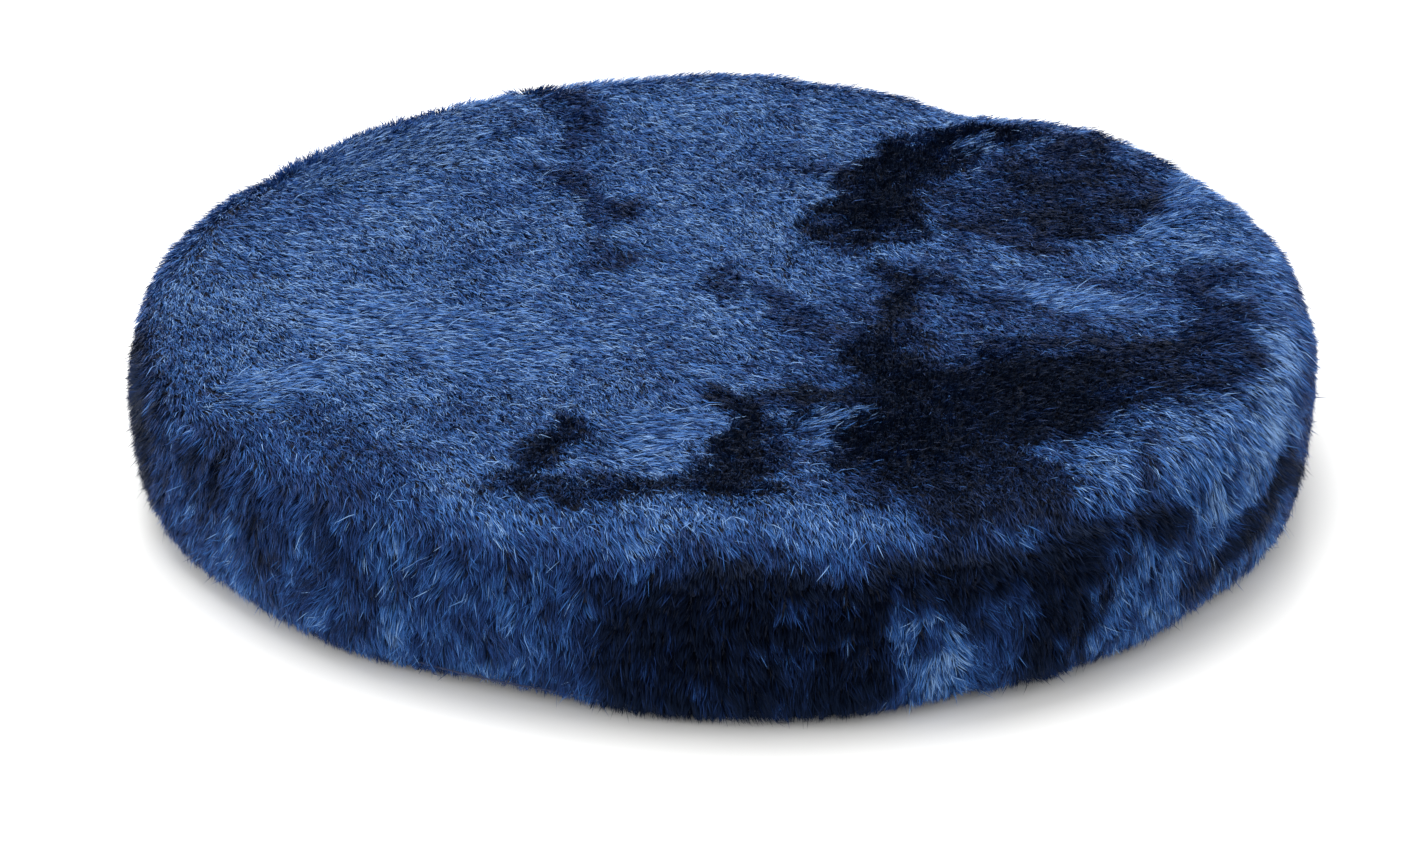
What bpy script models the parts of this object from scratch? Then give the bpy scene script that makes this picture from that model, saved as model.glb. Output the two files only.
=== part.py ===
"""A round plush seat cushion: a foam core in a liner, inside a sewn plush cover with a zip round the back.

Metres, +Z up. The origin is the centre of the base, on the surface the cushion lies on, and +Y is the back,
where the zip is. Angles are in degrees from +X, turning towards +Y.
"""

import math

import bmesh
import bpy
from mathutils import Matrix, Vector

# Overall size, measured over the tips of the pile
CUSHION_DIAMETER = 0.380
CUSHION_HEIGHT = 0.065
TOP_CROWN = 0.0015          # how far the middle of the top stands above its shoulder
TOP_EDGE_RADIUS = 0.020
BASE_EDGE_RADIUS = 0.016

# Cover
PLUSH_WALL = 0.007          # backing cloth and standing pile together
FLATTENED_PLUSH = 0.0013    # the same where it is pressed flat under the cushion's edge
TOP_SEAM_ANGLE = 55.0       # where the top panel meets the side, up the rounded top edge
BASE_CLOTH = 0.0015
LEFT_JOIN_ANGLE = 208.0     # the front band ends here, and the two strips of the zipped side begin
RIGHT_JOIN_ANGLE = 312.0

# Filling
LINER_CLOTH = 0.0006
WADDING_THICKNESS = 0.006

# Zip
ZIP_START_ANGLE = 12.0
ZIP_END_ANGLE = 168.0
ZIP_SLOT = 0.009            # height of the opening in the plush that the zip shows in
TAPE_REACH = 0.009          # from the zip's middle to the hidden edge of a tape
TAPE_THICKNESS = 0.0007
COIL_THICKNESS = 0.0022
COIL_WIDTH = 0.002
COIL_SPACING = 0.0012       # between the two coils, room for the slider's middle web
SLIDER_LENGTH = 0.010
SLIDER_WIDTH = 0.0084
SLIDER_PLATE = 0.001
SLIDER_WEB = 0.0006
SLIDER_START_ANGLE = 17.0   # the closed end
SLIDER_TRAVEL = 141.0
BRIDGE_INNER_RADIUS = 0.002
BRIDGE_BAR = 0.001
BRIDGE_WIDTH = 0.0024
PULL_LENGTH = 0.024
PULL_THICKNESS = 0.001
PULL_END_WIDTH = 0.0064
PULL_WINDOW_LENGTH = 0.0039
PULL_HOLE_RADIUS = 0.0013
STOP_LENGTH = 0.0028

# Small pieces
THREAD_DIAMETER = 0.0006
LABEL_THICKNESS = 0.0003
LABEL_LENGTH = 0.036
LABEL_HEIGHT = 0.016
LABEL_ANGLE = 178.0

# Clearances
GAP = 0.0003                # between pieces that touch on the real cushion
SLIDING_GAP = 0.0002        # between the slider and what runs through it
FLOOR_GAP = 0.0005          # the tips of the pile at the lower edge stand this far off the surface

# Fineness of the turned shapes
TURN_STEP = 4.0             # degrees, and every join of the cover lies on a whole step
FILLING_STEP = 8.0
ZIP_STEP = 2.4
CROWN_POINTS = 3
EDGE_POINTS = 4

# Worked out from the sizes above
OUTER_RADIUS = CUSHION_DIAMETER / 2
COVER_INNER_RADIUS = OUTER_RADIUS - PLUSH_WALL
BASE_RADIUS = OUTER_RADIUS - BASE_EDGE_RADIUS           # where the base seam runs
TOP_EDGE_HEIGHT = CUSHION_HEIGHT - TOP_CROWN - TOP_EDGE_RADIUS   # the side is upright between these two
BASE_EDGE_HEIGHT = FLOOR_GAP + BASE_EDGE_RADIUS
MID_SEAM_HEIGHT = TOP_EDGE_HEIGHT - TAPE_REACH - FLOOR_GAP       # also the middle of the zip
TAPE_RADIUS = COVER_INNER_RADIUS - GAP - SLIDING_GAP - TAPE_THICKNESS / 2
PLATE_REACH = COIL_THICKNESS / 2 + SLIDING_GAP          # from the tape's middle to a slider plate
SLIDER_INNER_RADIUS = TAPE_RADIUS - PLATE_REACH - SLIDER_PLATE
SLIDER_OUTER_RADIUS = TAPE_RADIUS + PLATE_REACH + SLIDER_PLATE
LINER_SIDE_DEPTH = OUTER_RADIUS - SLIDER_INNER_RADIUS + GAP + SLIDING_GAP
LINER_RADIUS = OUTER_RADIUS - LINER_SIDE_DEPTH
FOAM_SIDE_DEPTH = LINER_SIDE_DEPTH + LINER_CLOTH + GAP
LINER_TOP_DEPTH = PLUSH_WALL + GAP
WADDING_TOP_DEPTH = LINER_TOP_DEPTH + LINER_CLOTH + GAP
FOAM_TOP_DEPTH = WADDING_TOP_DEPTH + WADDING_THICKNESS + GAP
PLUSH_FLOOR = FLOOR_GAP + FLATTENED_PLUSH               # inside of the cover, just above the base seam
LINER_FLOOR = PLUSH_FLOOR + GAP
FOAM_FLOOR = LINER_FLOOR + LINER_CLOTH + GAP
COIL_EDGE = COIL_SPACING / 2 + COIL_WIDTH               # from the zip's middle to a coil's far edge
PIN_RADIUS = SLIDER_OUTER_RADIUS + PULL_THICKNESS / 2 + 2 * SLIDING_GAP     # of the pull's hinge line


def clear_scene():
    for found in list(bpy.data.objects):
        bpy.data.objects.remove(found, do_unlink=True)


def add_collection(name):
    made = bpy.data.collections.new(name)
    bpy.context.scene.collection.children.link(made)
    return made


def give_material(piece, name, colour, roughness, metallic=0.0):
    """Each piece has a material of its own."""
    material = bpy.data.materials.new(name)
    material.use_nodes = True
    shader = material.node_tree.nodes["Principled BSDF"]
    shader.inputs["Base Color"].default_value = (*colour, 1.0)
    shader.inputs["Roughness"].default_value = roughness
    shader.inputs["Metallic"].default_value = metallic
    piece.data.materials.append(material)
    return piece


def add_object(name, data):
    piece = bpy.data.objects.new(name, data)
    parts.objects.link(piece)
    return piece


def degrees_of(length, radius):
    """The angle that a length takes up round a circle."""
    return math.degrees(length / radius)


def arc_points(centre, radius, first, last, count):
    """Points (radius, height) on an arc of a profile, both ends included."""
    made = []
    for i in range(count + 1):
        angle = math.radians(first + (last - first) * i / count)
        made.append((centre[0] + radius * math.cos(angle), centre[1] + radius * math.sin(angle)))
    return made


def edge_of(top_depth, side_depth):
    """Centre and radius of the rounded top edge of a layer that lies this deep inside the cushion."""
    radius = TOP_EDGE_RADIUS - top_depth
    centre = (OUTER_RADIUS - side_depth - radius, TOP_EDGE_HEIGHT)
    return centre, radius


def dome_outline(top_depth, side_depth, lowest_angle=0.0, crown=TOP_CROWN):
    """From the middle of a layer's top, over its crown, and down its rounded edge to lowest_angle."""
    centre, radius = edge_of(top_depth, side_depth)
    made = []
    for i in range(CROWN_POINTS):
        share = i / CROWN_POINTS
        made.append((centre[0] * share, centre[1] + radius + crown * (1 - share**2)))
    return made + arc_points(centre, radius, 90, lowest_angle, EDGE_POINTS)


def base_edge(radius, floor):
    """From a layer's upright side, round its lower edge, to its floor above the base seam."""
    across = radius - BASE_RADIUS
    down = BASE_EDGE_HEIGHT - floor
    made = []
    for x, y in arc_points((0, 0), 1, 0, -90, EDGE_POINTS):
        made.append((BASE_RADIUS + across * x, BASE_EDGE_HEIGHT + down * y))
    return made


def turned(name, outline, step=TURN_STEP):
    """A full turn of an open outline that starts and ends on the axis and runs down its outer side."""
    mesh = bpy.data.meshes.new(name)
    points = [(radius, 0.0, height) for radius, height in outline]
    mesh.from_pydata(points, [(i, i + 1) for i in range(len(points) - 1)], [])
    piece = add_object(name, mesh)
    screw = piece.modifiers.new("Turn", "SCREW")
    screw.axis = "Z"
    screw.steps = screw.render_steps = round(360 / step)
    screw.use_merge_vertices = True
    screw.merge_threshold = 0.00001
    screw.use_smooth_shade = True
    return piece


def swept(name, outline, first_angle, last_angle, step=TURN_STEP):
    """A closed outline swept round the cushion's axis, from first_angle to last_angle."""
    work = bmesh.new()
    start = math.radians(first_angle)
    corners = [
        work.verts.new((radius * math.cos(start), radius * math.sin(start), height))
        for radius, height in outline
    ]
    face = work.faces.new(corners)
    bmesh.ops.spin(
        work,
        geom=[face, *face.edges, *face.verts],
        cent=(0, 0, 0),
        axis=(0, 0, 1),
        angle=math.radians(last_angle - first_angle),
        steps=max(1, round((last_angle - first_angle) / step)),
    )
    bmesh.ops.recalc_face_normals(work, faces=work.faces)
    mesh = bpy.data.meshes.new(name)
    work.to_mesh(mesh)
    work.free()
    piece = add_object(name, mesh)
    mesh.shade_smooth()
    mesh.set_sharp_from_angle(angle=math.radians(35))
    return piece


def as_cutter(piece):
    for holder in list(piece.users_collection):
        holder.objects.unlink(piece)
    cutters.objects.link(piece)
    piece.hide_render = True
    piece.display_type = "WIRE"
    return piece


def add_boolean(piece, operation, other):
    boolean = piece.modifiers.new(operation.title(), "BOOLEAN")
    boolean.operation = operation
    boolean.solver = "EXACT"
    boolean.object = other


def box_outline(inner, outer, low, high):
    return [(inner, low), (outer, low), (outer, high), (inner, high)]


def thread_outline(radius, height):
    half = THREAD_DIAMETER / 2
    return [(radius - half, height), (radius, height - half), (radius + half, height), (radius, height + half)]


# Plush cover

def add_plush(piece):
    return give_material(piece, piece.name + "_plush", (0.016, 0.075, 0.235), 0.8)


def add_top_panel():
    inner_edge_radius = edge_of(PLUSH_WALL, PLUSH_WALL)[1]
    seam = TOP_SEAM_ANGLE + degrees_of(GAP / 2, inner_edge_radius)
    outer = dome_outline(0.0, 0.0, seam)
    inner = dome_outline(PLUSH_WALL, PLUSH_WALL, seam)
    add_plush(turned("cover_top_panel", outer + inner[::-1]))


def top_seam_edge(depth, seam):
    """From the top seam down the rounded edge to where the side is upright."""
    return arc_points(*edge_of(depth, depth), seam, 0, EDGE_POINTS)


def add_side(name, first_angle, last_angle, high=None, low=None):
    """A length of the side. It starts at the top seam, or at high, and ends at the base seam, or at low."""
    half_join = degrees_of(GAP / 2, COVER_INNER_RADIUS)
    inner_edge_radius = edge_of(PLUSH_WALL, PLUSH_WALL)[1]
    seam = TOP_SEAM_ANGLE - degrees_of(GAP / 2, inner_edge_radius)
    outer = [(OUTER_RADIUS, high)] if high else top_seam_edge(0.0, seam)
    inner = [(COVER_INNER_RADIUS, high)] if high else top_seam_edge(PLUSH_WALL, seam)
    outer += [(OUTER_RADIUS, low)] if low else base_edge(OUTER_RADIUS, FLOOR_GAP)
    inner += [(COVER_INNER_RADIUS, low)] if low else base_edge(COVER_INNER_RADIUS, PLUSH_FLOOR)
    return add_plush(swept(name, outer + inner[::-1], first_angle + half_join, last_angle - half_join))


def add_zip_slot_cutter():
    """What the opening for the zip takes out of the two strips of the zipped side."""
    inner = COVER_INNER_RADIUS - PLUSH_WALL
    outer = OUTER_RADIUS + PLUSH_WALL
    low = MID_SEAM_HEIGHT - ZIP_SLOT / 2
    cutter = swept(
        "zip_slot", box_outline(inner, outer, low, low + ZIP_SLOT), ZIP_START_ANGLE, ZIP_END_ANGLE
    )
    return as_cutter(cutter)


def add_cover():
    add_top_panel()
    add_side("cover_front_band", LEFT_JOIN_ANGLE, RIGHT_JOIN_ANGLE)
    far_join = LEFT_JOIN_ANGLE + 360
    upper = add_side("cover_upper_strip", RIGHT_JOIN_ANGLE, far_join, low=MID_SEAM_HEIGHT + GAP / 2)
    lower = add_side("cover_lower_strip", RIGHT_JOIN_ANGLE, far_join, high=MID_SEAM_HEIGHT - GAP / 2)
    slot = add_zip_slot_cutter()
    add_boolean(upper, "DIFFERENCE", slot)
    add_boolean(lower, "DIFFERENCE", slot)

    rim = BASE_RADIUS - GAP
    base = turned("cover_base_panel", [(0, BASE_CLOTH), (rim, BASE_CLOTH), (rim, 0), (0, 0)])
    give_material(base, "base_cloth", (0.012, 0.022, 0.06), 0.9)


def add_threads():
    """The sewing thread of each seam, inside the cover. The zip takes the place of one at the back."""
    centre, radius = edge_of(PLUSH_WALL, PLUSH_WALL)
    top_seam = arc_points(centre, radius - THREAD_DIAMETER, TOP_SEAM_ANGLE, TOP_SEAM_ANGLE, 1)[0]
    behind_wall = (COVER_INNER_RADIUS - THREAD_DIAMETER, MID_SEAM_HEIGHT)
    above_base = base_edge((COVER_INNER_RADIUS + LINER_RADIUS) / 2, PLUSH_FLOOR + GAP / 2)[EDGE_POINTS // 2]
    whole_turn = (0, 360 - TURN_STEP)
    threads = [
        swept("top_seam_thread", thread_outline(*top_seam), *whole_turn),
        swept("base_seam_thread", thread_outline(*above_base), *whole_turn),
        swept(
            "mid_seam_thread_left", thread_outline(*behind_wall), ZIP_END_ANGLE + TURN_STEP, LEFT_JOIN_ANGLE
        ),
        swept(
            "mid_seam_thread_right",
            thread_outline(*behind_wall),
            RIGHT_JOIN_ANGLE,
            ZIP_START_ANGLE + 360 - TURN_STEP,
        ),
    ]
    for thread in threads:
        give_material(thread, thread.name + "_polyester", (0.01, 0.03, 0.1), 0.6)


# Filling

def add_filling():
    foam_centre, foam_edge = edge_of(FOAM_TOP_DEPTH, FOAM_SIDE_DEPTH)
    foam_top = foam_centre[1] + foam_edge
    foam_outline = [(0, foam_top)] + arc_points(foam_centre, foam_edge, 90, 0, EDGE_POINTS)
    foam_outline += base_edge(OUTER_RADIUS - FOAM_SIDE_DEPTH, FOAM_FLOOR) + [(0, FOAM_FLOOR)]
    foam = turned("foam_core", foam_outline, FILLING_STEP)
    give_material(foam, "polyurethane_foam", (0.75, 0.68, 0.45), 0.95)

    wadding_low = foam_top + GAP
    centre, radius = edge_of(WADDING_TOP_DEPTH, FOAM_SIDE_DEPTH)
    lowest = math.degrees(math.asin((wadding_low - centre[1]) / radius))
    top = dome_outline(WADDING_TOP_DEPTH, FOAM_SIDE_DEPTH, lowest)
    wadding = turned("top_wadding", top + [(0, wadding_low)], FILLING_STEP)
    give_material(wadding, "polyester_wadding", (0.85, 0.85, 0.84), 0.95)

    outer = dome_outline(LINER_TOP_DEPTH, LINER_SIDE_DEPTH) + base_edge(LINER_RADIUS, LINER_FLOOR)
    inner = dome_outline(LINER_TOP_DEPTH + LINER_CLOTH, LINER_SIDE_DEPTH + LINER_CLOTH)
    inner += base_edge(LINER_RADIUS - LINER_CLOTH, LINER_FLOOR + LINER_CLOTH)
    cap = turned("liner_cap", outer + inner[::-1], FILLING_STEP)
    give_material(cap, "liner_cap_cloth", (0.8, 0.8, 0.78), 0.9)

    rim = BASE_RADIUS - GAP
    top = LINER_FLOOR + LINER_CLOTH
    disc = [(0, top), (rim, top), (rim, LINER_FLOOR), (0, LINER_FLOOR)]
    give_material(turned("liner_base", disc, FILLING_STEP), "liner_base_cloth", (0.8, 0.8, 0.78), 0.9)


# Zip

def add_tapes_and_coils():
    """Both halves of the zip: a woven tape with its coil along the edge that faces the middle."""
    slider_half = degrees_of(SLIDER_LENGTH / 2, TAPE_RADIUS)
    coil_first = SLIDER_START_ANGLE - slider_half
    coil_last = SLIDER_START_ANGLE + SLIDER_TRAVEL + slider_half
    end_gap = degrees_of(2 * GAP, TAPE_RADIUS)
    half_tape = TAPE_THICKNESS / 2
    half_coil = COIL_THICKNESS / 2
    for side, name in ((1, "upper"), (-1, "lower")):
        edges = sorted(MID_SEAM_HEIGHT + side * reach for reach in (COIL_EDGE + GAP, TAPE_REACH))
        outline = box_outline(TAPE_RADIUS - half_tape, TAPE_RADIUS + half_tape, *edges)
        tape = swept(
            "zip_tape_" + name, outline, ZIP_START_ANGLE + end_gap, ZIP_END_ANGLE - end_gap, ZIP_STEP
        )
        give_material(tape, tape.name + "_weave", (0.01, 0.02, 0.055), 0.85)

        edges = sorted(MID_SEAM_HEIGHT + side * reach for reach in (COIL_SPACING / 2, COIL_EDGE))
        outline = box_outline(TAPE_RADIUS - half_coil, TAPE_RADIUS + half_coil, *edges)
        coil = swept("zip_coil_" + name, outline, coil_first, coil_last, ZIP_STEP)
        give_material(coil, coil.name + "_nylon", (0.012, 0.025, 0.07), 0.4)


def add_stops():
    """Two top stops at the closed end, one on each tape, and one bottom stop across both."""
    slider_half = degrees_of(SLIDER_LENGTH / 2, TAPE_RADIUS)
    stop_span = degrees_of(STOP_LENGTH, TAPE_RADIUS)
    apart = degrees_of(GAP, TAPE_RADIUS)
    top_last = SLIDER_START_ANGLE - slider_half - apart
    bottom_first = SLIDER_START_ANGLE + SLIDER_TRAVEL + slider_half + apart
    inner = TAPE_RADIUS - COIL_THICKNESS / 2
    outer = TAPE_RADIUS + COIL_THICKNESS / 2
    low = MID_SEAM_HEIGHT - COIL_EDGE
    high = MID_SEAM_HEIGHT + COIL_EDGE
    upper_low = MID_SEAM_HEIGHT + COIL_SPACING / 2
    lower_high = MID_SEAM_HEIGHT - COIL_SPACING / 2
    stops = [
        swept("zip_top_stop_upper", box_outline(inner, outer, upper_low, high), top_last - stop_span, top_last),
        swept("zip_top_stop_lower", box_outline(inner, outer, low, lower_high), top_last - stop_span, top_last),
        swept("zip_bottom_stop", box_outline(inner, outer, low, high), bottom_first, bottom_first + stop_span),
    ]
    for stop in stops:
        give_material(stop, stop.name + "_metal", (0.55, 0.56, 0.58), 0.35, 1.0)


def slider_section():
    """Across the slider: two plates with lips over the tapes, joined by a web between the coils."""
    middle = MID_SEAM_HEIGHT
    half_width = SLIDER_WIDTH / 2
    half_web = SLIDER_WEB / 2
    lip = half_width - (COIL_EDGE + SLIDING_GAP)
    tape_clear = TAPE_THICKNESS / 2 + SLIDING_GAP
    upper = [
        (SLIDER_OUTER_RADIUS, half_width),
        (TAPE_RADIUS + tape_clear, half_width),
        (TAPE_RADIUS + tape_clear, half_width - lip),
        (TAPE_RADIUS + PLATE_REACH, half_width - lip),
        (TAPE_RADIUS + PLATE_REACH, half_web),
        (TAPE_RADIUS - PLATE_REACH, half_web),
        (TAPE_RADIUS - PLATE_REACH, half_width - lip),
        (TAPE_RADIUS - tape_clear, half_width - lip),
        (TAPE_RADIUS - tape_clear, half_width),
        (SLIDER_INNER_RADIUS, half_width),
    ]
    lower = [(radius, -height) for radius, height in reversed(upper)]
    return [(radius, middle + height) for radius, height in upper + lower]


def add_bridge(angle):
    """The arch on the slider's outer plate, a half ring that a Boolean joins to it."""
    outward = Vector((math.cos(angle), math.sin(angle), 0))
    along = Vector((-math.sin(angle), math.cos(angle), 0))
    root = outward * (SLIDER_OUTER_RADIUS - SLIDING_GAP)
    root.z = MID_SEAM_HEIGHT
    up = Vector((0, 0, BRIDGE_WIDTH / 2))
    foot = along * BRIDGE_INNER_RADIUS
    far_foot = along * (BRIDGE_INNER_RADIUS + BRIDGE_BAR)
    work = bmesh.new()
    corners = [root + foot - up, root + far_foot - up, root + far_foot + up, root + foot + up]
    face = work.faces.new([work.verts.new(corner) for corner in corners])
    bmesh.ops.spin(
        work,
        geom=[face, *face.edges, *face.verts],
        cent=root,
        axis=(0, 0, -1),
        angle=math.pi,
        steps=10,
    )
    bmesh.ops.recalc_face_normals(work, faces=work.faces)
    mesh = bpy.data.meshes.new("slider_bridge")
    work.to_mesh(mesh)
    work.free()
    return as_cutter(bpy.data.objects.new("slider_bridge", mesh))


def add_slider():
    """The slider turns about the cushion's axis, so its parent empty stands on that axis."""
    axis = bpy.data.objects.new("zip_slider_axis", None)
    parts.objects.link(axis)
    half = degrees_of(SLIDER_LENGTH / 2, TAPE_RADIUS)
    first = SLIDER_START_ANGLE - half
    last = SLIDER_START_ANGLE + half
    slider = swept("zip_slider", slider_section(), first, last, half)
    add_boolean(slider, "UNION", add_bridge(math.radians(SLIDER_START_ANGLE)))
    give_material(slider, "slider_metal", (0.5, 0.51, 0.53), 0.35, 1.0)
    slider.parent = axis
    return axis


def add_loop(curve, points):
    """A closed outline of straight runs on a flat curve."""
    spline = curve.splines.new("POLY")
    spline.points.add(len(points) - 1)
    for point, (x, y) in zip(spline.points, points):
        point.co = (x, y, 0, 1)
    spline.use_cyclic_u = True


def add_pull(slider_axis):
    """A flat tab whose end bar passes under the slider's bridge, which is its hinge line."""
    half_bar = PULL_THICKNESS / 2
    half_window = BRIDGE_WIDTH / 2 + GAP
    half_neck = half_window + PULL_THICKNESS
    half_end = PULL_END_WIDTH / 2
    round_centre = PULL_LENGTH - half_end
    outline = [(-half_bar, -half_neck), (PULL_WINDOW_LENGTH + half_bar, -half_neck)]
    outline += arc_points((round_centre, 0), half_end, -90, 90, 8)
    outline += [(PULL_WINDOW_LENGTH + half_bar, half_neck), (-half_bar, half_neck)]
    window_end = half_bar + PULL_WINDOW_LENGTH
    window = [
        (half_bar, -half_window),
        (window_end, -half_window),
        (window_end, half_window),
        (half_bar, half_window),
    ]
    hole = arc_points((round_centre, 0), PULL_HOLE_RADIUS, 0, 330, 11)

    curve = bpy.data.curves.new("zip_pull", "CURVE")
    curve.dimensions = "2D"
    curve.fill_mode = "BOTH"
    curve.extrude = PULL_THICKNESS / 2
    for points in (outline, window, hole):
        add_loop(curve, points)
    pull = add_object("zip_pull", curve)
    angle = math.radians(SLIDER_START_ANGLE)
    outward = Vector((math.cos(angle), math.sin(angle), 0))
    along = Vector((-math.sin(angle), math.cos(angle), 0))
    up = Vector((0, 0, 1))
    turn = Matrix((along, up, outward)).transposed()
    pull.matrix_world = Matrix.Translation(outward * PIN_RADIUS + up * MID_SEAM_HEIGHT) @ turn.to_4x4()
    give_material(pull, "pull_metal", (0.5, 0.51, 0.53), 0.3, 1.0)
    pull.parent = slider_axis


def add_care_label():
    """A blank woven label that hangs from the middle seam, against the liner, beside the end of the zip."""
    outer = LINER_RADIUS + 2 * GAP + LABEL_THICKNESS
    span = degrees_of(LABEL_LENGTH, outer)
    high = MID_SEAM_HEIGHT
    outline = box_outline(outer - LABEL_THICKNESS, outer, high - LABEL_HEIGHT, high)
    label = swept("care_label", outline, LABEL_ANGLE, LABEL_ANGLE + span)
    give_material(label, "satin_label", (0.8, 0.8, 0.8), 0.5)


clear_scene()
parts = add_collection("plush_seat_cushion")
cutters = add_collection("cutters")
cutters.hide_render = True
add_filling()
add_cover()
add_threads()
add_tapes_and_coils()
add_stops()
add_pull(add_slider())
add_care_label()
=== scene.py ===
import itertools
import math

import bpy
import numpy as np
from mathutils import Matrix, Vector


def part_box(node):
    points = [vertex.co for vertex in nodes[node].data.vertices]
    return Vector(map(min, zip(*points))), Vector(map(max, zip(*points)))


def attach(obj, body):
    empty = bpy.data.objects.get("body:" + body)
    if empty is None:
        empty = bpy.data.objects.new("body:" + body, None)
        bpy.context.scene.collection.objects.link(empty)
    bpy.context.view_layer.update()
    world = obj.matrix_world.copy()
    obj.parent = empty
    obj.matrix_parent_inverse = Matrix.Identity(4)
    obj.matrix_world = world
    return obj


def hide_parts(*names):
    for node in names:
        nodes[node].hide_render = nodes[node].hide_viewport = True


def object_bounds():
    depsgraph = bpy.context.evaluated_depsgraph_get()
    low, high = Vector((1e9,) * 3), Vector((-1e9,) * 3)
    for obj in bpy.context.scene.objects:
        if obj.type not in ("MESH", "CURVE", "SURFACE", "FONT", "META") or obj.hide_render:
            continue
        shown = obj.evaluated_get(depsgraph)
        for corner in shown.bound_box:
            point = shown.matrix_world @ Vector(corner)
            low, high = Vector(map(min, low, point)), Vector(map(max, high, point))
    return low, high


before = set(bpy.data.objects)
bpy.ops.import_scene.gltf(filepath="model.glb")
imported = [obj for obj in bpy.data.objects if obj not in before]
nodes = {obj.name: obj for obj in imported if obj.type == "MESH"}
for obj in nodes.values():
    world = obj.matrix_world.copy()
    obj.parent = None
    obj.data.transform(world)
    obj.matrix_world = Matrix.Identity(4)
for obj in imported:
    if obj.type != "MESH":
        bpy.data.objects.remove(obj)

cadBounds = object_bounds()
mm = 0.001

# Sizes read from the frame
outerRadius = cadBounds[1][0]
cushionHeight = cadBounds[1][2]
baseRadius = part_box("cover_base_panel")[1].x
topSeam = (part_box("cover_front_band")[1].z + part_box("cover_top_panel")[0].z) / 2
midSeam = (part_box("cover_lower_strip")[1].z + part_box("cover_upper_strip")[0].z) / 2
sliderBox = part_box("zip_slider")
slotHalf = (sliderBox[1].z - sliderBox[0].z) / 2 + 0.3 * mm


def smoothStep(low, high, value):
    share = np.clip((value - low) / (high - low), 0, 1)
    return share * share * (3 - 2 * share)


# Large primes that scatter the corners of the noise's grid, and the largest number that comes of it
cornerPrimes = np.array((73856093, 19349663, 83492791))
seedPrime = 2654435761
mixPrime = 1274126177
mostMixed = 0x7FFFFFFF
seedShift = 7.31


# Noise from -1 to 1 whose bumps are about as wide as size
def smoothNoise(places, size, seed):
    scaled = places / size + seed * seedShift
    corner = np.floor(scaled)
    part = smoothStep(0, 1, scaled - corner)
    corner = corner.astype(np.int64)
    total = np.zeros(len(places))
    for step in itertools.product((0, 1), repeat=3):
        weight = np.prod(np.where(step, part, 1 - part), axis=1)
        mixed = (corner + step) @ cornerPrimes + seed * seedPrime
        mixed = (mixed ^ (mixed >> 13)) * mixPrime & mostMixed
        total += weight * (mixed ^ (mixed >> 11)) / mostMixed
    return total * 2 - 1


# A value that drifts about a base; a drift is the width of its bumps, how far it goes, and its seed
def drift(base, places, drifts):
    value = base
    for size, reach, seed in drifts:
        value = value + reach * smoothNoise(places, size, seed)
    return value


# Moves of the places by up to so many millimetres each way
def wander(places, size, reach, seed):
    moves = [smoothNoise(places, size, seed + axis) for axis in range(3)]
    return np.stack(moves, axis=1) * reach * mm


def azimuthOf(places):
    return np.degrees(np.arctan2(places[:, 1], places[:, 0])) % 360


# How far an azimuth is from another, from -180 to 180
def turnFrom(azimuth, middle):
    return (azimuth - middle + 180) % 360 - 180


# A mesh's points, a row of x, y and z for each
def meshPlaces(piece):
    places = np.empty(len(piece.data.vertices) * 3, np.float32)
    piece.data.vertices.foreach_get("co", places)
    return places.reshape(-1, 3).astype(float)


def meshNormals(piece):
    normals = np.empty(len(piece.data.vertices) * 3, np.float32)
    piece.data.vertex_normals.foreach_get("vector", normals)
    return normals.reshape(-1, 3).astype(float)


# The slot that the zip lies in is open from one end stop to the other, and some degrees more
slotMargin = 0.8
zipStart = azimuthOf(meshPlaces(nodes["zip_top_stop_upper"])).min() - slotMargin
zipEnd = azimuthOf(meshPlaces(nodes["zip_bottom_stop"])).max() + slotMargin


def unit(vectors):
    return vectors / np.maximum(np.linalg.norm(vectors, axis=1, keepdims=True), 1e-9)


def setPlaces(piece, places):
    piece.data.vertices.foreach_set("co", places.astype(np.float32).ravel())
    piece.data.update()


def pickOnly(piece):
    bpy.ops.object.select_all(action="DESELECT")
    piece.select_set(True)
    bpy.context.view_layer.objects.active = piece


def applyModifier(piece, kind, **settings):
    pickOnly(piece)
    modifier = piece.modifiers.new(kind.title(), kind)
    for name, value in settings.items():
        setattr(modifier, name, value)
    bpy.ops.object.modifier_apply(modifier=modifier.name)


# Materials
def linearColour(hexColour):
    channels = [int(hexColour[i:i + 2], 16) / 255 for i in (1, 3, 5)]
    return [c / 12.92 if c <= 0.04045 else ((c + 0.055) / 1.055) ** 2.4 for c in channels] + [1.0]


# The shader's sockets are given by their names, with _ for each space
def newMaterial(name, **shaderValues):
    material = bpy.data.materials.new(name)
    material.use_nodes = True
    shader = material.node_tree.nodes["Principled BSDF"]
    for socket, value in shaderValues.items():
        shader.inputs[socket.replace("_", " ")].default_value = value
    return material, material.node_tree, shader


# Adds a node with its settings; a socket given as another node's output is linked, else its value is set
def addNode(tree, kind, inputs=None, **settings):
    node = tree.nodes.new(kind)
    for name, value in settings.items():
        setattr(node, name, value)
    for socket, value in (inputs or {}).items():
        if isinstance(value, bpy.types.NodeSocket):
            tree.links.new(value, node.inputs[socket])
        else:
            node.inputs[socket].default_value = value
    return node


def setRamp(node, stops):
    elements = node.color_ramp.elements
    while len(elements) < len(stops):
        elements.new(0.5)
    for element, (position, hexColour) in zip(elements, stops):
        element.position = position
        element.color = linearColour(hexColour)
    return node


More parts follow.
